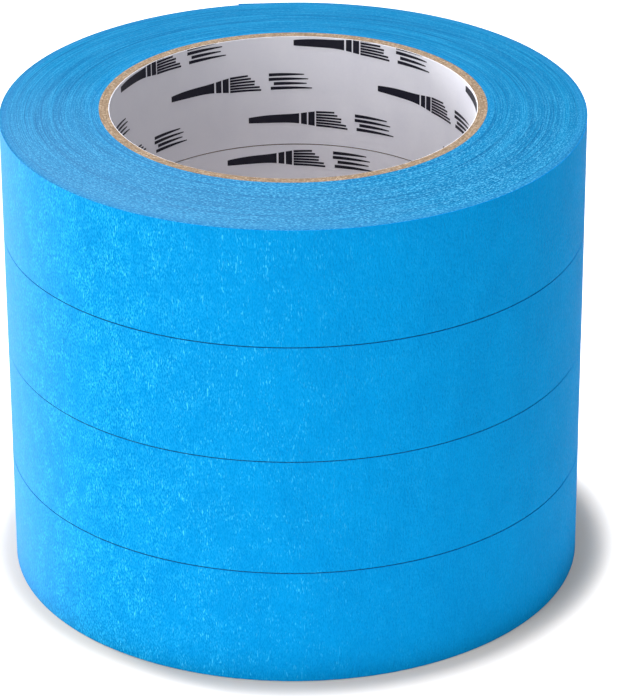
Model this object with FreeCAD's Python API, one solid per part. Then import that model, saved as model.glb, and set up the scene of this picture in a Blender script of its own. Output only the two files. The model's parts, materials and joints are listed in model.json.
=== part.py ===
import FreeCAD, Part
import math
import os

# A stack of four rolls of crepe masking tape, each wound on its own paperboard core.
# +Z runs up the common bore, and the origin is the centre of the bottom face, so the stack stands
# on Z = 0. Rolls are numbered from the bottom. Seen from above, each tape ends its last turn
# anticlockwise, and the free end peels outwards about a line parallel to the bore.

# Driving dimensions, in millimetres and degrees
ROLL_COUNT = 4
TAPE_WIDTH = 25.4
TAPE_THICKNESS = 0.12
ROLL_DIAMETER = 122.0
BORE_DIAMETER = 76.2
CORE_WALL = 2.2
LINER_THICKNESS = 0.2
PLY_NAMES = ("inner", "middle", "outer")
TAB_LENGTH = 22.0
TAB_GAP = 0.06
TAB_EDGE_CLEARANCE = 0.1
PEEL_LINE_ANGLES = (36.0, 112.0, 52.0, 80.0)

# Sizes that follow from them
BORE_RADIUS = BORE_DIAMETER / 2
CORE_RADIUS = BORE_RADIUS + CORE_WALL
PLY_THICKNESS = (CORE_WALL - LINER_THICKNESS) / len(PLY_NAMES)
ROLL_RADIUS = ROLL_DIAMETER / 2
WINDING_RADIUS = ROLL_RADIUS - TAPE_THICKNESS
TAB_INNER_RADIUS = ROLL_RADIUS + TAB_GAP
TAB_OUTER_RADIUS = TAB_INNER_RADIUS + TAPE_THICKNESS
PEEL_LINE_RADIUS = (TAB_INNER_RADIUS + TAB_OUTER_RADIUS) / 2

UP = FreeCAD.Vector(0, 0, 1)
OUT_FOLDER = "parts"


def on_circle(radius, angle_deg, height):
    angle = math.radians(angle_deg)
    return FreeCAD.Vector(radius * math.cos(angle), radius * math.sin(angle), height)


def sleeve(inner_radius, outer_radius, bottom):
    """One closed tube as wide as the tape, standing on the height given."""
    foot = FreeCAD.Vector(0, 0, bottom)
    outside = Part.makeCylinder(outer_radius, TAPE_WIDTH, foot, UP)
    inside = Part.makeCylinder(inner_radius, TAPE_WIDTH, foot, UP)
    return outside.cut(inside)


def core_liner(bottom):
    """The smooth white paper that lines the bore."""
    return sleeve(BORE_RADIUS, BORE_RADIUS + LINER_THICKNESS, bottom)


def core_ply(number, bottom):
    """One layer of brown board, counted from the bore outwards."""
    inner_radius = BORE_RADIUS + LINER_THICKNESS + number * PLY_THICKNESS
    return sleeve(inner_radius, inner_radius + PLY_THICKNESS, bottom)


def tape_winding(bottom):
    """All the turns of tape under the last one, as one solid pack."""
    return sleeve(CORE_RADIUS, WINDING_RADIUS, bottom)


def tape_last_turn(bottom):
    """The outermost full turn, which the free end leaves at the peel line."""
    return sleeve(WINDING_RADIUS, ROLL_RADIUS, bottom)


def tape_free_end(peel_angle, bottom):
    """The strip past the peel line, curved round the roll.

    Its root is half round about the peel line, so it turns there without touching the roll.
    """
    sweep = math.degrees(TAB_LENGTH / PEEL_LINE_RADIUS)
    half = TAPE_THICKNESS / 2
    foot = bottom + TAB_EDGE_CLEARANCE
    middle_angle = peel_angle + sweep / 2
    far_angle = peel_angle + sweep
    inner_root = on_circle(TAB_INNER_RADIUS, peel_angle, foot)
    inner_middle = on_circle(TAB_INNER_RADIUS, middle_angle, foot)
    inner_tip = on_circle(TAB_INNER_RADIUS, far_angle, foot)
    outer_root = on_circle(TAB_OUTER_RADIUS, peel_angle, foot)
    outer_middle = on_circle(TAB_OUTER_RADIUS, middle_angle, foot)
    outer_tip = on_circle(TAB_OUTER_RADIUS, far_angle, foot)
    peel_line = on_circle(PEEL_LINE_RADIUS, peel_angle, foot)
    back = on_circle(half, peel_angle - 90, 0)
    edges = [
        Part.Arc(inner_root, inner_middle, inner_tip).toShape(),
        Part.LineSegment(inner_tip, outer_tip).toShape(),
        Part.Arc(outer_tip, outer_middle, outer_root).toShape(),
        Part.Arc(outer_root, peel_line.add(back), inner_root).toShape(),
    ]
    outline = Part.Face(Part.Wire(edges))
    return outline.extrude(FreeCAD.Vector(0, 0, TAPE_WIDTH - 2 * TAB_EDGE_CLEARANCE))


def roll_pieces(number):
    """Every piece of one roll, by node name."""
    bottom = (number - 1) * TAPE_WIDTH
    prefix = f"roll_{number}_"
    pieces = {
        prefix + "core_liner": core_liner(bottom),
        prefix + "tape_winding": tape_winding(bottom),
        prefix + "tape_last_turn": tape_last_turn(bottom),
        prefix + "tape_free_end": tape_free_end(PEEL_LINE_ANGLES[number - 1], bottom),
    }
    for index, ply_name in enumerate(PLY_NAMES):
        pieces[f"{prefix}core_{ply_name}_ply"] = core_ply(index, bottom)
    return pieces


def main():
    os.makedirs(OUT_FOLDER, exist_ok=True)
    for number in range(1, ROLL_COUNT + 1):
        for name, shape in roll_pieces(number).items():
            if not shape.isValid() or len(shape.Solids) != 1:
                raise ValueError(f"{name} is not one valid solid")
            shape.Solids[0].exportStep(os.path.join(OUT_FOLDER, name + ".step"))
            print(f"{name}: {shape.Volume / 1000:.3f} cm3")


main()
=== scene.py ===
import json
import math

import bpy
import numpy as np
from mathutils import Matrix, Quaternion, Vector


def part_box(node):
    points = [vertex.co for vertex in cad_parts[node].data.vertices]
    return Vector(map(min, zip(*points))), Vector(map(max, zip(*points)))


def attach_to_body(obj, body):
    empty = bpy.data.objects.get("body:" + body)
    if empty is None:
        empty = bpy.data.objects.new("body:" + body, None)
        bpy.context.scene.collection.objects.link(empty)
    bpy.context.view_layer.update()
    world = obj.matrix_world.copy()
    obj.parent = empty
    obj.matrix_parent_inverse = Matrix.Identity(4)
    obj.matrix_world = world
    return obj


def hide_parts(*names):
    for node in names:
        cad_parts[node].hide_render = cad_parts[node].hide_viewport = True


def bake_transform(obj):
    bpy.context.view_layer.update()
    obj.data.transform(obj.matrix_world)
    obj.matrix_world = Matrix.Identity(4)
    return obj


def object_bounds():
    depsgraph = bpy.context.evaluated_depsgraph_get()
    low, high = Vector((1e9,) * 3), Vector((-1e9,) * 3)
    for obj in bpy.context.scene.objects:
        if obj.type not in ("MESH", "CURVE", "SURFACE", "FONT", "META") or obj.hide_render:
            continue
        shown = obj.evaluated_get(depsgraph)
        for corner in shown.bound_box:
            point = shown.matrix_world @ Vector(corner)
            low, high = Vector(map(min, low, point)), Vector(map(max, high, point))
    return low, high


# Looks of a stack of four rolls of blue crepe masking tape. Lengths are in metres, in the frame
# of the CAD model: +Z up the bore, origin in the middle of the bottom face. Every CAD node is
# replaced by a detailed mesh of the same size, worked out from the frame's own boxes and joints.

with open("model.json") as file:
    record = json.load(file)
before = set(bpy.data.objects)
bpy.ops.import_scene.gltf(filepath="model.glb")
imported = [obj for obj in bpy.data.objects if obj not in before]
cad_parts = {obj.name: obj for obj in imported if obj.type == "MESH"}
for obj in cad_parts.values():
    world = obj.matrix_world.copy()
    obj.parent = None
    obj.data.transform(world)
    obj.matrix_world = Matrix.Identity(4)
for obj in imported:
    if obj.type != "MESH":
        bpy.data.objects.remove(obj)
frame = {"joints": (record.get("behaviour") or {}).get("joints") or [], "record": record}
cad_low, cad_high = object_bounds()

MM = 0.001
FULL_TURN = 2 * math.pi
ROLL_RADIUS = (cad_high.x - cad_low.x) / 2
ROLLS = (1, 2, 3, 4)
PLIES = ("inner", "middle", "outer")

# The view that the stack is shown from
LENS_MM = 200.983
SENSOR_WIDTH_MM = 36.0
CAMERA_DISTANCE = 833.2 * MM
CAMERA_ELEVATION = math.radians(25.92)
CAMERA_ROLL = -0.0034
AIM_RIGHT = 5.5 * MM
AIM_BELOW_MIDDLE = 5.1 * MM
CLIP_NEAR = 0.01
CLIP_FAR = 20

# Small shapes that the plain CAD solids leave out: the wound tape
DISH_RISE = 1.0 * MM
EDGE_EASE = 0.12 * MM
RIM_SLOPE_WIDTH = 1.7 * MM
RIM_SLOPE_DROP = 0.08 * MM
RELIEF_BROAD = 0.07 * MM
RELIEF_FINE = 0.02 * MM
SIDE_WAVE = 0.018 * MM
SIDE_WAVE_FADE = 0.05        # radians from each end of the last turn over which its waves fade
TURN_LAND = 0.02 * MM

# The core and its liner
PLY_EASE = 0.07 * MM
PLY_ROUGH = 0.045 * MM
LINER_RECESS = 0.13 * MM
LINER_WAVE = 0.03 * MM
INK_THICKNESS = 0.015 * MM
THINNEST_STROKE = 0.02 * MM

# The free end
TAB_LIFT = 0.02 * MM
TAB_LIFT_SHARE = 0.125       # share of its length over which it rises off the roll
TIP_CURL = 0.55 * MM
TIP_CURL_LENGTH = 7.0 * MM
TEAR_DEPTH = 0.8 * MM
NOISE_REACH = 3              # spreads that smooth noise hardly ever leaves

# How finely each mesh is divided
RING_STEPS = 360
RING_STEP_BACK = 0.002       # radians left for a wound ring's step back to its start
FACE_RINGS = 84
SIDE_ROWS = 14
EDGE_STEPS = 6
PLY_POINTS = 5
TAB_COLUMNS = 64
TAB_ROWS = 36
CREASE_ANGLE = math.radians(50)

# Random waves: how many are added up, how far they lean, and how many hollows go round
FIRST_SEED = 40
WAVE_COUNT = 60
WAVE_LEAN = 2.5
SIDE_HARMONICS = 70
PLY_HARMONICS = 40
LINER_HARMONICS = 9


# ---------------------------------------------------------------- sizes read from the frame

def outer_radius(node):
    low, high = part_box(node)
    return (high.x - low.x) / 2


def joint_named(name):
    return next(joint for joint in frame["joints"] if joint["name"] == name)


def bore_radius():
    bore = next(mount for mount in frame["record"]["mounts"] if mount["kind"] == "bore")
    return bore["dims"]["r_mm"] * MM


class Roll:
    """The sizes of one roll, from its CAD nodes and its peel joint."""

    def __init__(self, number):
        self.number = number
        self.body = f"roll_{number}"
        self.tab_body = f"free_end_{number}"
        self.prefix = f"roll_{number}_"
        low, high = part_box(self.prefix + "tape_last_turn")
        self.bottom = low.z
        self.top = high.z
        self.radius = outer_radius(self.prefix + "tape_last_turn")
        self.thickness = self.radius - outer_radius(self.prefix + "tape_winding")
        self.core_radius = outer_radius(self.prefix + "core_outer_ply")
        self.liner_radius = outer_radius(self.prefix + "core_liner")
        self.bore_radius = bore_radius()
        peel = joint_named(f"free_end_{number}_peel")
        self.peel_point = Vector(peel["pos_m"])
        self.peel_angle = math.atan2(self.peel_point.y, self.peel_point.x)
        self.tab_low, self.tab_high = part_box(self.prefix + "tape_free_end")
        self.random = np.random.RandomState(FIRST_SEED + number)


def dished(radius, roll):
    """How far a point rises, because the wound turns stand a little higher towards the core."""
    share = (roll.radius - radius) / (roll.radius - roll.core_radius)
    return DISH_RISE * np.clip(share, 0, 1)


# ---------------------------------------------------------------- meshes

def smooth_noise(random, count, width):
    """A row of random numbers, blurred over their neighbours and scaled to a spread of 1."""
    values = random.normal(size=count + 6 * width)
    kernel = np.hanning(2 * width + 1)
    blurred = np.convolve(values, kernel, mode="same")[3 * width:3 * width + count]
    return blurred / blurred.std()


def ring_waves(random, angles, rings, width, harmonics):
    """Heights over rings and angles that change slowly round the roll, scaled to 1."""
    field = smooth_noise(random, rings, width)[None, :] * np.ones((len(angles), 1))
    for harmonic in range(1, harmonics + 1):
        for phase in (0.0, math.pi / 2):
            wave = np.cos(harmonic * angles + phase)[:, None]
            field = field + wave * smooth_noise(random, rings, width)[None, :] / (1 + harmonic)
    return field / np.abs(field).max()


def side_waves(random, angles, rows, harmonics):
    """Gentle hollows over a tall wall, scaled to 1."""
    share = np.linspace(0, 1, rows)
    field = np.zeros((len(angles), rows))
    for _ in range(WAVE_COUNT):
        turns = random.randint(2, harmonics)
        rise = random.uniform(-WAVE_LEAN, WAVE_LEAN)
        phase = random.uniform(0, FULL_TURN)
        field += np.cos(turns * angles[:, None] + rise * FULL_TURN * share[None, :] + phase)
    return field / np.abs(field).max()


def swept_piece(name, angles, radii, heights, faces_of, materials, closed):
    """A mesh swept round the bore: radii and heights hold one closed outline for each angle.

    faces_of gives the material of each outline edge. An open sweep gets a cap on each end.
    """
    steps, points = radii.shape
    x = radii * np.cos(angles)[:, None]
    y = radii * np.sin(angles)[:, None]
    vertices = np.stack([x, y, heights], axis=2).reshape(-1, 3)
    faces = []
    slots = []
    for step in range(steps if closed else steps - 1):
        here = step * points
        there = (step + 1) % steps * points
        for point in range(points):
            after = (point + 1) % points
            faces.append((here + point, there + point, there + after, here + after))
            slots.append(faces_of[point])
    if not closed:
        faces.append(tuple(range(points)))
        faces.append(tuple((steps - 1) * points + point for point in reversed(range(points))))
        slots += [faces_of[0], faces_of[0]]
    return finished_mesh(name, vertices, faces, slots, materials)


def finished_mesh(name, vertices, faces, slots, materials):
    """An object from bare vertices and faces, with smooth shading between its creases."""
    mesh = bpy.data.meshes.new(name)
    mesh.from_pydata([tuple(v) for v in vertices], [], faces)
    for material in materials:
        mesh.materials.append(material)
    mesh.polygons.foreach_set("material_index", np.array(slots, np.int32))
    mesh.shade_smooth()
    mesh.set_sharp_from_angle(angle=CREASE_ANGLE)
    mesh.update()
    piece = bpy.data.objects.new(name, mesh)
    bpy.context.scene.collection.objects.link(piece)
    return piece


def ring_angles():
    """Angles of a closed ring from the peel line on, with a short last step back to the start."""
    return np.linspace(0, FULL_TURN - RING_STEP_BACK, RING_STEPS)


def rim_dip(radius, roll):
    """How far the wound face lies below the tape's full width near the rim."""
    past = np.clip((radius - (roll.radius - EDGE_EASE)) / EDGE_EASE, 0, 1)
    rounding = EDGE_EASE * (1 - np.sqrt(1 - past * past))
    slope = np.clip((radius - (roll.radius - RIM_SLOPE_WIDTH)) / RIM_SLOPE_WIDTH, 0, 1)
    return rounding + RIM_SLOPE_DROP * slope * slope


def wound_tape(roll, side, edge):
    """All turns under the last one: a spiral outline, and faces of slightly uneven turns."""
    around = ring_angles()
    outline = roll.radius - roll.thickness * (2 - around / FULL_TURN)
    share = np.linspace(0, 1, FACE_RINGS)
    radii = roll.core_radius + share[None, :] * (outline - roll.core_radius)[:, None]
    levels = []
    for _ in ("bottom", "top"):
        broad = ring_waves(roll.random, around, FACE_RINGS, width=5, harmonics=4)
        fine = ring_waves(roll.random, around, FACE_RINGS, width=1, harmonics=8)
        broad_drop = RELIEF_BROAD * (1 - broad) / 2
        fine_drop = RELIEF_FINE * (1 - fine) / 2
        levels.append(broad_drop + fine_drop + rim_dip(radii, roll))
    lift = dished(radii, roll)
    low = roll.bottom + levels[0] + lift
    high = roll.top - levels[1] + lift
    all_radii = np.concatenate([radii, radii[:, ::-1]], axis=1)
    all_heights = np.concatenate([low, high[:, ::-1]], axis=1)
    one_face = [1] * (FACE_RINGS - 1) + [0]
    angles = around + roll.peel_angle
    return swept_piece(roll.prefix + "wound_tape", angles, all_radii, all_heights,
                       one_face + one_face, [side, edge], closed=True)


def outer_turn(roll, side, edge):
    """The last full turn, from under the free end round to the peel line."""
    around = np.linspace(0, FULL_TURN, 2 * RING_STEPS)
    inside = roll.radius - roll.thickness * (2 - around / FULL_TURN)
    outside = inside + roll.thickness
    rounding = np.linspace(0, math.pi / 2, EDGE_STEPS)
    waves = side_waves(roll.random, around, SIDE_ROWS, SIDE_HARMONICS)
    ramp = np.minimum(around, FULL_TURN - around)[:, None]
    waves = waves * np.clip(ramp / SIDE_WAVE_FADE, 0, 1)
    rows = np.linspace(roll.bottom + EDGE_EASE, roll.top - EDGE_EASE, SIDE_ROWS)
    wall_radii = outside[:, None] - SIDE_WAVE * (1 - waves) / 2
    wall_heights = np.ones((len(around), 1)) * rows[None, :]
    edge_in = (roll.thickness - TURN_LAND) * (1 - np.cos(rounding))[None, 1:]
    edge_up = EDGE_EASE * np.sin(rounding)[None, 1:] - RIM_SLOPE_DROP
    edge_radii_high = wall_radii[:, -1:] - edge_in
    edge_radii_low = wall_radii[:, :1] - edge_in[:, ::-1]
    high = (roll.top - EDGE_EASE) + edge_up * np.ones((len(around), 1))
    low = (roll.bottom + EDGE_EASE) - edge_up[:, ::-1] * np.ones((len(around), 1))
    inner = inside[:, None]
    radii = np.concatenate([inner, edge_radii_low, wall_radii, edge_radii_high, inner], axis=1)
    heights = np.concatenate([low[:, :1], low, wall_heights, high, high[:, -1:]], axis=1)
    # Cut tape shows on the rounded edges, and crepe on the wall between them and on the inside
    cut = [1] * (EDGE_STEPS - 2)
    faces_of = cut + [0] * (SIDE_ROWS + 3) + cut + [0]
    angles = around + roll.peel_angle
    return swept_piece(roll.prefix + "outer_turn", angles, radii, heights,
                       faces_of, [side, edge], closed=False)


def free_tab(roll, side, adhesive):
    """The free end past the peel line: crepe outside, adhesive inside, with a torn tip."""
    sweep = tab_sweep(roll)
    rise = np.linspace(0, 1, TAB_ROWS)
    tear = TEAR_DEPTH * smooth_noise(roll.random, TAB_ROWS, width=2) / NOISE_REACH
    low = roll.tab_low.z
    high = roll.tab_high.z
    vertices = []
    for layer in (0, 1):
        for column in range(TAB_COLUMNS):
            share = column / (TAB_COLUMNS - 1)
            for row in range(TAB_ROWS):
                reach = share * (sweep + tear[row] / roll.radius)
                curled = max(0, 1 - (sweep - reach) * roll.radius / TIP_CURL_LENGTH)
                risen = min(1, share / TAB_LIFT_SHARE)
                lift = TAB_LIFT * risen + TIP_CURL * curled * curled
                base = roll.radius - roll.thickness + lift
                radius = base + roll.thickness * (reach / FULL_TURN + layer)
                angle = roll.peel_angle + reach
                vertices.append((radius * math.cos(angle), radius * math.sin(angle),
                                 low + (high - low) * rise[row]))
    faces, slots = slab_faces(TAB_COLUMNS, TAB_ROWS)
    return finished_mesh(roll.prefix + "free_tab", vertices, faces, slots, [side, adhesive])


def slab_faces(columns, rows):
    """Faces of a thin closed slab: layer 0 is the inside (material 1), layer 1 the outside."""
    def index(layer, column, row):
        return (layer * columns + column) * rows + row

    faces = []
    slots = []
    for column in range(columns - 1):
        for row in range(rows - 1):
            for layer in (0, 1):
                corners = [index(layer, column, row), index(layer, column + 1, row),
                           index(layer, column + 1, row + 1), index(layer, column, row + 1)]
                faces.append(tuple(corners if layer else reversed(corners)))
                slots.append(1 - layer)
    for column in range(columns - 1):
        for row, flip in ((0, False), (rows - 1, True)):
            corners = [index(0, column, row), index(0, column + 1, row),
                       index(1, column + 1, row), index(1, column, row)]
            faces.append(tuple(reversed(corners) if flip else corners))
            slots.append(0)
    for row in range(rows - 1):
        for column, flip in ((0, True), (columns - 1, False)):
            corners = [index(0, column, row), index(0, column, row + 1),
                       index(1, column, row + 1), index(1, column, row)]
            faces.append(tuple(reversed(corners) if flip else corners))
            slots.append(0)
    return faces, slots


def tab_sweep(roll):
    """The angle that the free end covers, from the far corner of its box."""
    low, high = roll.tab_low, roll.tab_high
    reach = max((Vector((x, y, 0)) - Vector((roll.peel_point.x, roll.peel_point.y, 0))).length
                for x in (low.x, high.x) for y in (low.y, high.y))
    return 2 * math.asin(reach / 2 / roll.radius)


def board_ply(roll, name, kraft):
    """One layer of the board core, with eased, slightly furry edges."""
    outside = outer_radius(f"{roll.prefix}core_{name}_ply")
    low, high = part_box(f"{roll.prefix}core_{name}_ply")
    ply = (roll.core_radius - roll.liner_radius) / len(PLIES)
    inside = outside - ply
    around = np.linspace(0, FULL_TURN, RING_STEPS, endpoint=False)
    share = np.linspace(0, 1, PLY_POINTS)
    flat = inside + PLY_EASE + share * (ply - 2 * PLY_EASE)
    flat_radii = np.ones((len(around), 1)) * flat[None, :]
    rough = []
    for _ in ("bottom", "top"):
        waves = ring_waves(roll.random, around, PLY_POINTS, width=1, harmonics=PLY_HARMONICS)
        rough.append(PLY_ROUGH * (1 - waves) / 2)
    one = np.ones((len(around), 1))
    low_radii = np.concatenate([inside * one, flat_radii, outside * one], axis=1)
    low_heights = np.concatenate([(low.z + PLY_EASE) * one, low.z + rough[0],
                                  (low.z + PLY_EASE) * one], axis=1)
    high_heights = np.concatenate([(high.z - PLY_EASE) * one, high.z - rough[1],
                                   (high.z - PLY_EASE) * one], axis=1)
    radii = np.concatenate([low_radii, low_radii[:, ::-1]], axis=1)
    heights = np.concatenate([low_heights, high_heights[:, ::-1]], axis=1)
    heights = heights + dished(radii, roll)
    faces_of = [0] * radii.shape[1]
    return swept_piece(f"{roll.prefix}board_{name}", around, radii, heights,
                       faces_of, [kraft], closed=True)


def liner_paper(roll, paper):
    """The white paper inside the core, ending a hair short of the board at each end."""
    around = np.linspace(0, FULL_TURN, RING_STEPS, endpoint=False)
    one = np.ones((len(around), 1))
    waves = side_waves(roll.random, around, SIDE_ROWS, LINER_HARMONICS)
    rows = np.linspace(roll.bottom + LINER_RECESS, roll.top - LINER_RECESS, SIDE_ROWS)
    inner_radii = roll.bore_radius + LINER_WAVE * (1 + waves) / 2
    inner_heights = one * rows[None, :]
    outer_radii = roll.liner_radius * np.ones((len(around), 2))
    outer_heights = one * np.array([[rows[0], rows[-1]]])
    radii = np.concatenate([inner_radii[:, ::-1], outer_radii], axis=1)
    heights = np.concatenate([inner_heights[:, ::-1], outer_heights], axis=1)
    heights = heights + dished(radii, roll)
    faces_of = [0] * radii.shape[1]
    return swept_piece(roll.prefix + "liner_paper", around, radii, heights,
                       faces_of, [paper], closed=True)


# ---------------------------------------------------------------- print on the liner

MARKS_IN_A_ROW = 5
MARK_PITCH = FULL_TURN / MARKS_IN_A_ROW
MARK_HALF_HEIGHT = 3 * MM
ROW_PITCH = 8.85 * MM
ROW_STAGGER = math.radians(-28.5)
STRIP_STEP_MM = 0.5
# For each roll: how far its first row of marks lies below its top, and where one mark of that
# row starts, in degrees
FIRST_ROWS = {1: (5.6 * MM, 20.0), 2: (2.2 * MM, 64.0), 3: (3.2 * MM, 113.0), 4: (1.55 * MM, 162.5)}


def brush_strips():
    """A paintbrush and the dry strokes it leaves, as strips: (start, end, lower edge, upper edge).

    Edges are functions of the share along the strip, and everything is in millimetres.
    """
    handle = (0.0, 11.6, lambda t: -handle_half(t), handle_half)
    ferrule = (12.0, 13.3, lambda t: -1.25 - 0.2 * t, lambda t: 1.25 + 0.2 * t)
    collar = (13.6, 15.0, lambda t: -1.5 - 0.2 * t, lambda t: 1.5 + 0.2 * t)
    strips = [handle, ferrule, collar]
    hairs = 6
    spread = 3.7
    hair = spread / hairs
    for number in range(hairs):
        low = number * hair - spread / 2
        tip = 7.0 - 0.55 * number + 0.35 * math.sin(number * 2.4)
        strips.append((15.3, 15.3 + tip,
                       lambda t, low=low: low * (1 + 0.15 * t) + 0.05,
                       lambda t, low=low: (low + hair) * (1 + 0.15 * t) - 0.05 - 0.2 * t))
    strokes = 4
    for number in range(strokes):
        low = number * 1.05 - 2.0
        start = 24.4 + 0.7 * math.sin(number * 1.9)
        reach = 8.0 + 1.2 * math.sin(number * 2.9 + 1)
        strips.append((start, start + reach,
                       lambda t, low=low: low + 0.25 * t * t,
                       lambda t, low=low: low + 0.72 - 0.25 * t * t))
    return strips


def handle_half(t):
    """Half the height of the handle: a round end, a slim grip and a shoulder at the ferrule."""
    end = math.sqrt(max(0.0, 1 - (1 - min(1.0, t / 0.06)) ** 2))
    return (0.62 + 0.30 * math.sin(t * math.pi * 0.9) + 0.50 * t ** 5) * end


def liner_print(roll, ink):
    """Rows of the printed mark round the liner, cut off where the liner was cut."""
    vertices = []
    faces = []
    first_drop, first_angle = FIRST_ROWS[roll.number]
    floor_height = roll.bottom + LINER_RECESS
    ceiling = roll.top - LINER_RECESS
    lift = float(dished(roll.bore_radius, roll))
    row = 0
    while roll.top - first_drop - row * ROW_PITCH > roll.bottom - MARK_HALF_HEIGHT:
        centre = roll.top - first_drop - row * ROW_PITCH
        for mark in range(MARKS_IN_A_ROW):
            start = math.radians(first_angle) + row * ROW_STAGGER - mark * MARK_PITCH
            for strip in brush_strips():
                add_strip(roll, strip, start, centre, (floor_height, ceiling), lift,
                          vertices, faces)
        row += 1
    return finished_mesh(roll.prefix + "liner_print", vertices, faces, [0] * len(faces), [ink])


def add_strip(roll, strip, start_angle, centre, limits, lift, vertices, faces):
    """Adds one printed strip as a thin closed slab lying on the liner."""
    begin, end, lower, upper = strip
    steps = max(2, int((end - begin) / STRIP_STEP_MM) + 1)
    outside = roll.bore_radius + LINER_WAVE
    inside = roll.bore_radius - INK_THICKNESS
    kept = []
    for step in range(steps):
        share = step / (steps - 1)
        low = max(limits[0], centre + lower(share) * MM)
        high = min(limits[1], centre + upper(share) * MM)
        if high - low >= THINNEST_STROKE:
            kept.append((begin + share * (end - begin), low, high))
    if len(kept) < 2:
        return
    first = len(vertices)
    for along, low, high in kept:
        angle = start_angle - along * MM / roll.bore_radius
        for radius in (inside, outside):
            for height in (low, high):
                vertices.append((radius * math.cos(angle), radius * math.sin(angle),
                                 height + lift))
    for step in range(len(kept) - 1):
        here = first + 4 * step
        there = here + 4
        for a, b in ((0, 1), (1, 3), (3, 2), (2, 0)):
            faces.append((here + a, there + a, there + b, here + b))
    faces.append((first, first + 1, first + 3, first + 2))
    last = first + 4 * (len(kept) - 1)
    faces.append((last, last + 2, last + 3, last + 1))


# ---------------------------------------------------------------- materials

def add_node(tree, kind, inputs=None, **settings):
    """A node with its settings, and each input set to a value or linked to an output."""
    node = tree.nodes.new(kind)
    for key, value in settings.items():
        setattr(node, key, value)
    for key, value in (inputs or {}).items():
        if isinstance(value, bpy.types.NodeSocket):
            tree.links.new(value, node.inputs[key])
        else:
            node.inputs[key].default_value = value
    return node


def maths(tree, operation, first, second):
    return add_node(tree, "ShaderNodeMath", {0: first, 1: second}, operation=operation).outputs[0]


def place(tree, scale):
    """The point being shaded in the object's own frame, scaled along each axis."""
    where = add_node(tree, "ShaderNodeTexCoord").outputs["Object"]
    stretched = add_node(tree, "ShaderNodeVectorMath", {0: where, 1: scale}, operation="MULTIPLY")
    return stretched.outputs[0]


def from_axis(tree):
    """How far the point being shaded is from the bore's axis."""
    where = add_node(tree, "ShaderNodeTexCoord").outputs["Object"]
    flat = add_node(tree, "ShaderNodeVectorMath", {0: where, 1: (1, 1, 0)}, operation="MULTIPLY")
    length = add_node(tree, "ShaderNodeVectorMath", {0: flat.outputs[0]}, operation="LENGTH")
    return length.outputs["Value"]


def ring_place(tree, across, around):
    """Like place, but measured as distance from the bore's axis and, coarsely, round it."""
    where = add_node(tree, "ShaderNodeTexCoord").outputs["Object"]
    parts = add_node(tree, "ShaderNodeSeparateXYZ", {0: where})
    joined = add_node(tree, "ShaderNodeCombineXYZ", {
        0: maths(tree, "MULTIPLY", from_axis(tree), across),
        1: maths(tree, "MULTIPLY", parts.outputs[0], around),
        2: maths(tree, "MULTIPLY", parts.outputs[1], around)})
    return joined.outputs[0]


def facing(tree, degrees):
    """How far a point lies toward one side of the roll: 1 at the rim there, 0 over the axis."""
    side = math.radians(degrees)
    where = add_node(tree, "ShaderNodeTexCoord").outputs["Object"]
    toward = (math.cos(side) / ROLL_RADIUS, math.sin(side) / ROLL_RADIUS, 0)
    node = add_node(tree, "ShaderNodeVectorMath", {0: where, 1: toward}, operation="DOT_PRODUCT")
    return node.outputs["Value"]


def noise(tree, vector, detail=2.0, rough=0.5):
    """Noise about one unit across: the vector, stretched by place, gives it its real size."""
    node = add_node(tree, "ShaderNodeTexNoise",
                    {"Vector": vector, "Scale": 1.0, "Detail": detail, "Roughness": rough})
    return node.outputs["Fac"]


def span(tree, value, low, high, to_low=0.0, to_high=1.0):
    """Maps low..high to to_low..to_high and holds it there outside."""
    node = add_node(tree, "ShaderNodeMapRange",
                    {"Value": value, "From Min": low, "From Max": high,
                     "To Min": to_low, "To Max": to_high})
    return node.outputs["Result"]


def blend_colour(tree, share, first, second):
    """A mix of two colours. The node numbers its colour sockets 6 and 7, and its result 2."""
    node = add_node(tree, "ShaderNodeMix", {0: share, 6: first, 7: second}, data_type="RGBA")
    return node.outputs[2]


def bump(tree, height, strength, distance, normal=None):
    """A normal tilted by a height, over another bump's normal if one is given."""
    inputs = {"Height": height, "Strength": strength, "Distance": distance}
    if normal is not None:
        inputs["Normal"] = normal
    return add_node(tree, "ShaderNodeBump", inputs).outputs["Normal"]


def surface(name, build, constants):
    """A material: build gives the linked colour, roughness and normal, constants the rest."""
    material = bpy.data.materials.new(name)
    material.use_nodes = True
    tree = material.node_tree
    tree.nodes.clear()
    shader = add_node(tree, "ShaderNodeBsdfPrincipled", constants)
    for key, socket in build(tree).items():
        tree.links.new(socket, shader.inputs[key])
    add_node(tree, "ShaderNodeOutputMaterial", {"Surface": shader.outputs[0]})
    return material


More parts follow.
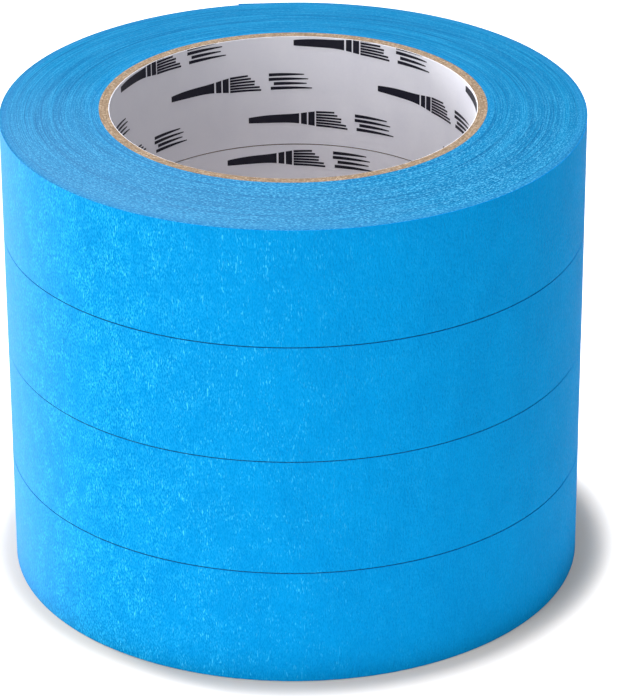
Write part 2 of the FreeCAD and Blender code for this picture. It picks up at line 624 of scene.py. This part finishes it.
def crepe_nodes(tree):
    """Blue crepe paper: upright fibres, pale speckle and dashes in clusters, with painted glints
    and dark specks that grow toward the lit side and a painted highlight haze on one side.
    """
    shade = (0.0, 0.227, 0.555, 1)
    blue = (0.0, 0.248, 0.594, 1)
    fibre = (0.005, 0.32, 0.74, 1)
    pale = (0.026, 0.49, 0.86, 1)
    palest = (0.060, 0.570, 0.900, 1)
    dark = (0.0, 0.175, 0.480, 1)
    highlight_haze = (0.130, 0.290, 0.600, 1)
    clouds = noise(tree, place(tree, (110, 110, 70)), 3.0)
    fibres = noise(tree, place(tree, (3000, 3000, 420)), 2.0, 0.6)
    speckle = noise(tree, place(tree, (4900, 4900, 1700)), 1.0)
    dashes = noise(tree, place(tree, (3600, 3600, 1000)), 0.0)
    clusters = noise(tree, place(tree, (300, 300, 200)), 3.0, 0.6)
    wrinkle = noise(tree, place(tree, (900, 900, 160)), 3.0, 0.6)
    creases = noise(tree, place(tree, (2300, 2300, 1300)), 1.0)

    colour = blend_colour(tree, span(tree, clouds, 0.35, 0.65), shade, blue)
    colour = blend_colour(tree, span(tree, fibres, 0.35, 0.75, 0.0, 0.25), colour, fibre)
    # Painted light: the paper's fibre specks show faintly all round and much stronger toward the
    # lamp-lit front-left, where they stand for glints.
    painted_light_contrast = maths(tree, "POWER", span(tree, facing(tree, 218), 0.0, 1.0), 6.0)
    shown = maths(tree, "MULTIPLY", span(tree, speckle, 0.46, 0.64),
                  span(tree, clusters, 0.35, 0.60, 0.30, 0.80))
    shown = maths(tree, "MULTIPLY", shown, span(tree, painted_light_contrast, 0.0, 1.0, 0.14, 1.0))
    colour = blend_colour(tree, shown, colour, pale)
    # Painted glints: pale dashes that show only toward the lit side.
    dashed = maths(tree, "MULTIPLY", span(tree, dashes, 0.68, 0.76),
                   span(tree, clusters, 0.42, 0.60, 0.10, 1.0))
    lit = maths(tree, "POWER", span(tree, facing(tree, 238), 0.0, 1.0, 0.0, 0.95), 4.0)
    colour = blend_colour(tree, maths(tree, "MULTIPLY", dashed, lit), colour, palest)
    # Painted shade: dark specks between the glints, stronger toward the lit side.
    deep = maths(tree, "MULTIPLY", span(tree, speckle, 0.46, 0.34),
                 span(tree, painted_light_contrast, 0.0, 0.5, 0.30, 0.45))
    colour = blend_colour(tree, deep, colour, dark)
    # Painted highlight: a pale haze over the left side of the roll, where the rear-left lamp
    # glances off.
    highlight_side = maths(tree, "POWER", span(tree, facing(tree, 184), 0.65, 1.0), 2.5)
    colour = blend_colour(tree, maths(tree, "MULTIPLY", highlight_side, 0.45), colour, highlight_haze)

    normal = bump(tree, wrinkle, 0.20, 0.05 * MM)
    normal = bump(tree, creases, 1.0, 0.20 * MM, normal)
    return {"Base Color": colour, "Normal": normal,
            "Roughness": span(tree, creases, 0.3, 0.7, 0.75, 0.50)}


def wound_edge_nodes(tree):
    """The cut edges of many turns: fine broken rings, speckle and bands, with painted glints, a
    painted highlight haze, a painted highlight on the rim band and a deep blue tint for the shaded
    seam.
    """
    dark_band = (0.001, 0.108, 0.262, 1)
    light_band = (0.003, 0.156, 0.338, 1)
    inner_turns = (0.0, 0.142, 0.345, 1)
    ring = (0.018, 0.225, 0.430, 1)
    dark_ring = (0.001, 0.080, 0.210, 1)
    pale_speckle_and_glint = (0.055, 0.320, 0.550, 1)
    pale_fleck = (0.085, 0.360, 0.590, 1)
    dark_fleck = (0.001, 0.065, 0.180, 1)
    highlight_haze = (0.085, 0.215, 0.390, 1)
    rim_highlight = (0.022, 0.165, 0.370, 1)
    seam_shade_blue = (0.0, 0.220, 0.720, 1)
    rings = noise(tree, ring_place(tree, 3800, 70), 1.0, 0.6)
    broad = noise(tree, ring_place(tree, 560, 12), 3.0, 0.55)
    dark = noise(tree, ring_place(tree, 1900, 22), 1.0)
    speckle = noise(tree, place(tree, (3000, 3000, 3000)), 2.0, 0.7)
    fleck = noise(tree, ring_place(tree, 3800, 1700), 1.0)
    # Painted light: speck and fleck contrast is strongest toward the front, where the lamps rake
    # the cut edges; pale specks stand for glints, dark flecks for shade.
    painted_light_contrast = span(tree, facing(tree, 268), -0.2, 0.7, 0.22, 1.0)
    radius = from_axis(tree)

    colour = blend_colour(tree, span(tree, broad, 0.35, 0.65), dark_band, light_band)
    inmost = span(tree, radius, ROLL_RADIUS - 17 * MM, ROLL_RADIUS - 20 * MM, 0.0, 0.6)
    colour = blend_colour(tree, inmost, colour, inner_turns)
    colour = blend_colour(tree, span(tree, rings, 0.45, 0.70, 0.0, 0.65), colour, ring)
    pale = maths(tree, "MULTIPLY", span(tree, speckle, 0.50, 0.66), painted_light_contrast)
    colour = blend_colour(tree, maths(tree, "MULTIPLY", pale, 0.55), colour, pale_speckle_and_glint)
    pale = maths(tree, "MULTIPLY", span(tree, fleck, 0.54, 0.66), painted_light_contrast)
    colour = blend_colour(tree, maths(tree, "MULTIPLY", pale, 0.75), colour, pale_fleck)
    deep = maths(tree, "MULTIPLY", span(tree, fleck, 0.46, 0.34), painted_light_contrast)
    colour = blend_colour(tree, maths(tree, "MULTIPLY", deep, 0.65), colour, dark_fleck)
    colour = blend_colour(tree, span(tree, dark, 0.56, 0.68, 0.0, 0.55), colour, dark_ring)
    # Painted highlight: a pale haze over the front-left of the face, weaker at the outer rim.
    highlight_side = span(tree, facing(tree, 228), 0.25, 1.0, 0.0, 0.38)
    inside = span(tree, radius, ROLL_RADIUS - 0.4 * MM, ROLL_RADIUS - 0.9 * MM, 0.2, 1.0)
    colour = blend_colour(tree, maths(tree, "MULTIPLY", highlight_side, inside), colour, highlight_haze)
    # Painted highlight: a paler band along the rim, where its slope catches the light.
    rim = span(tree, radius, ROLL_RADIUS - 2.0 * MM, ROLL_RADIUS - 1.6 * MM, 0.0, 0.28)
    colour = blend_colour(tree, rim, colour, rim_highlight)
    # Painted shade colour: the cut edges at the very rim are a deep blue, so the shaded seam
    # between rolls reads blue.
    lip = span(tree, radius, ROLL_RADIUS - 0.14 * MM, ROLL_RADIUS - 0.10 * MM)
    colour = blend_colour(tree, lip, colour, seam_shade_blue)

    normal = bump(tree, rings, 1.0, 0.15 * MM)
    normal = bump(tree, speckle, 1.0, 0.10 * MM, normal)
    return {"Base Color": colour, "Normal": normal,
            "Roughness": span(tree, speckle, 0.2, 0.8, 0.60, 0.85)}


def board_nodes(tree):
    """Brown board: fibres that follow the rim, and darker and paler flecks."""
    dark_brown = (0.165, 0.112, 0.070, 1)
    brown = (0.285, 0.207, 0.142, 1)
    dark_fleck = (0.090, 0.060, 0.036, 1)
    pale_fleck = (0.460, 0.380, 0.290, 1)
    fibres = noise(tree, ring_place(tree, 3400, 420), 3.0, 0.65)
    flecks = noise(tree, place(tree, (2100, 2100, 2100)), 2.0, 0.7)
    colour = blend_colour(tree, span(tree, fibres, 0.3, 0.7), dark_brown, brown)
    colour = blend_colour(tree, span(tree, flecks, 0.46, 0.30, 0.0, 0.6), colour, dark_fleck)
    colour = blend_colour(tree, span(tree, flecks, 0.53, 0.72, 0.0, 0.7), colour, pale_fleck)
    normal = bump(tree, fibres, 0.6, 0.06 * MM)
    normal = bump(tree, flecks, 0.4, 0.05 * MM, normal)
    return {"Base Color": colour, "Normal": normal,
            "Roughness": span(tree, flecks, 0.2, 0.8, 0.80, 0.97)}


def liner_nodes(tree):
    """Smooth white paper with the faintest clouding, and painted shade that greys the side away
    from the lamps.
    """
    white = (0.720, 0.725, 0.800, 1)
    bright = (0.765, 0.770, 0.835, 1)
    brightest = (0.83, 0.83, 0.88, 1)
    shaded_grey = (0.500, 0.505, 0.560, 1)
    clouds = noise(tree, place(tree, (160, 160, 120)), 3.0)
    grain = noise(tree, place(tree, (1800, 1800, 1500)), 2.0, 0.6)
    colour = blend_colour(tree, span(tree, clouds, 0.3, 0.7), white, bright)
    colour = blend_colour(tree, span(tree, grain, 0.45, 0.8, 0.0, 0.2), colour, brightest)
    # Painted shade: the side away from the lamps is greyed.
    colour = blend_colour(tree, span(tree, facing(tree, 150), 0.15, 0.55, 0.0, 0.45), colour, shaded_grey)
    return {"Base Color": colour, "Normal": bump(tree, grain, 0.12, 0.02 * MM),
            "Roughness": span(tree, clouds, 0.3, 0.7, 0.42, 0.55)}


def ink_nodes(tree):
    """Dark ink, thinner in tiny spots where the paper's grain shows through."""
    black = (0.0045, 0.0045, 0.014, 1)
    thin = (0.060, 0.062, 0.085, 1)
    grain = noise(tree, place(tree, (2600, 2600, 2600)), 2.0, 0.6)
    colour = blend_colour(tree, span(tree, grain, 0.62, 0.80, 0.0, 0.5), black, thin)
    return {"Base Color": colour, "Normal": bump(tree, grain, 0.1, 0.01 * MM),
            "Roughness": span(tree, grain, 0.3, 0.7, 0.40, 0.55)}


def adhesive_nodes(tree):
    """The tacky side of the tape: paler, smoother, with a faint stringy coat."""
    blue = (0.060, 0.360, 0.730, 1)
    pale_blue = (0.110, 0.450, 0.800, 1)
    spot = (0.250, 0.600, 0.880, 1)
    coat = noise(tree, place(tree, (700, 700, 130)), 3.0, 0.6)
    spots = noise(tree, place(tree, (1500, 1500, 1500)), 1.0)
    colour = blend_colour(tree, span(tree, coat, 0.3, 0.7), blue, pale_blue)
    colour = blend_colour(tree, span(tree, spots, 0.6, 0.75, 0.0, 0.3), colour, spot)
    return {"Base Color": colour, "Normal": bump(tree, coat, 0.3, 0.04 * MM),
            "Roughness": span(tree, coat, 0.3, 0.7, 0.30, 0.48)}


def make_materials():
    return {
        "crepe": surface("crepe_paper", crepe_nodes, {"Specular IOR Level": 0.012}),
        "edge": surface("wound_edges", wound_edge_nodes, {"Specular IOR Level": 0.03}),
        "board": surface("brown_board", board_nodes, {"Specular IOR Level": 0.15}),
        "liner": surface("liner_paper", liner_nodes, {"Specular IOR Level": 0.30}),
        "ink": surface("print_ink", ink_nodes, {"Specular IOR Level": 0.25}),
        "adhesive": surface("adhesive_side", adhesive_nodes, {"Specular IOR Level": 0.45}),
    }


# ---------------------------------------------------------------- assembly

def attach(piece, roll, nodes):
    """Puts a piece on its roll's body, in place of the CAD nodes given."""
    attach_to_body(piece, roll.body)
    if nodes:
        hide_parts(*nodes)


def build_roll(number, materials):
    """Every piece of one roll."""
    roll = Roll(number)
    crepe = materials["crepe"]
    edge = materials["edge"]
    attach(wound_tape(roll, crepe, edge), roll, [roll.prefix + "tape_winding"])
    attach(outer_turn(roll, crepe, edge), roll, [roll.prefix + "tape_last_turn"])
    for ply in PLIES:
        node = f"{roll.prefix}core_{ply}_ply"
        attach(board_ply(roll, ply, materials["board"]), roll, [node])
    attach(liner_paper(roll, materials["liner"]), roll, [roll.prefix + "core_liner"])
    attach(liner_print(roll, materials["ink"]), roll, [])
    tab = free_tab(roll, crepe, materials["adhesive"])
    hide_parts(roll.prefix + "tape_free_end")
    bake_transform(tab)


# ---------------------------------------------------------------- stage, light and camera

FLOOR_REACH = 4.0
WORLD_STRENGTH = 0.48
LAMP_AIM = (0, 0, 0.05)


def floor_nodes(tree):
    """A pale floor, warmer next to the stack, where the tape throws blue light on it."""
    grain = noise(tree, place(tree, (40, 40, 40)), 2.0)
    warm = blend_colour(tree, grain, (0.975, 0.835, 0.700, 1), (0.98, 0.845, 0.720, 1))
    away = span(tree, from_axis(tree), 1.03 * ROLL_RADIUS, 1.18 * ROLL_RADIUS)
    colour = blend_colour(tree, away, warm, (0.955, 0.940, 0.920, 1))
    return {"Base Color": colour, "Roughness": span(tree, grain, 0, 1, 0.9, 0.95)}


def build_floor():
    reach = FLOOR_REACH
    mesh = bpy.data.meshes.new("floor")
    corners = [(-reach, -reach, 0), (reach, -reach, 0), (reach, reach, 0), (-reach, reach, 0)]
    mesh.from_pydata(corners, [], [(0, 1, 2, 3)])
    mesh.materials.append(surface("floor", floor_nodes, {"Specular IOR Level": 0.0}))
    floor = bpy.data.objects.new("floor", mesh)
    bpy.context.scene.collection.objects.link(floor)


def build_world(strength):
    world = bpy.data.worlds.new("studio")
    world.use_nodes = True
    world.node_tree.nodes["Background"].inputs["Color"].default_value = (1, 1, 1, 1)
    world.node_tree.nodes["Background"].inputs["Strength"].default_value = strength
    bpy.context.scene.world = world


def soft_box(name, place_at, size, power):
    """A square lamp aimed at the stack: its place and size in metres, its power in watts."""
    lamp = bpy.data.lights.new(name, "AREA")
    lamp.shape = "SQUARE"
    lamp.size = size
    lamp.energy = power
    holder = bpy.data.objects.new(name, lamp)
    holder.location = place_at
    holder.rotation_mode = "QUATERNION"
    toward = Vector(LAMP_AIM) - Vector(place_at)
    holder.rotation_quaternion = toward.to_track_quat("-Z", "Y")
    bpy.context.scene.collection.objects.link(holder)


def build_camera():
    middle = (cad_low.z + cad_high.z) / 2
    data = bpy.data.cameras.new("camera")
    data.sensor_width = SENSOR_WIDTH_MM
    data.lens = LENS_MM
    data.clip_start = CLIP_NEAR
    data.clip_end = CLIP_FAR
    camera = bpy.data.objects.new("camera", data)
    camera.location = (0, -CAMERA_DISTANCE * math.cos(CAMERA_ELEVATION),
                       middle + CAMERA_DISTANCE * math.sin(CAMERA_ELEVATION))
    aim = Vector((AIM_RIGHT, 0, middle - AIM_BELOW_MIDDLE))
    camera.rotation_mode = "QUATERNION"
    level = (aim - camera.location).to_track_quat("-Z", "Y")
    camera.rotation_quaternion = level @ Quaternion((0, 0, 1), CAMERA_ROLL)
    bpy.context.scene.collection.objects.link(camera)
    bpy.context.scene.camera = camera


def build_studio():
    build_floor()
    build_world(WORLD_STRENGTH)
    soft_box("overhead", (-0.006, -0.004, 1.05), 0.075, 11.7)
    soft_box("key", (-0.477, -0.477, 0.854), 0.3, 1.3)
    soft_box("left_front", (-0.49, -0.59, 0.20), 0.38, 2.4)
    soft_box("right_fill", (0.854, -0.667, 0.24), 0.4, 0.6)
    soft_box("left_rear", (-0.749, 0.629, 0.258), 0.3, 10.3)
    bpy.context.scene.view_settings.view_transform = "Standard"


all_materials = make_materials()
for roll_number in ROLLS:
    build_roll(roll_number, all_materials)
build_studio()
build_camera()
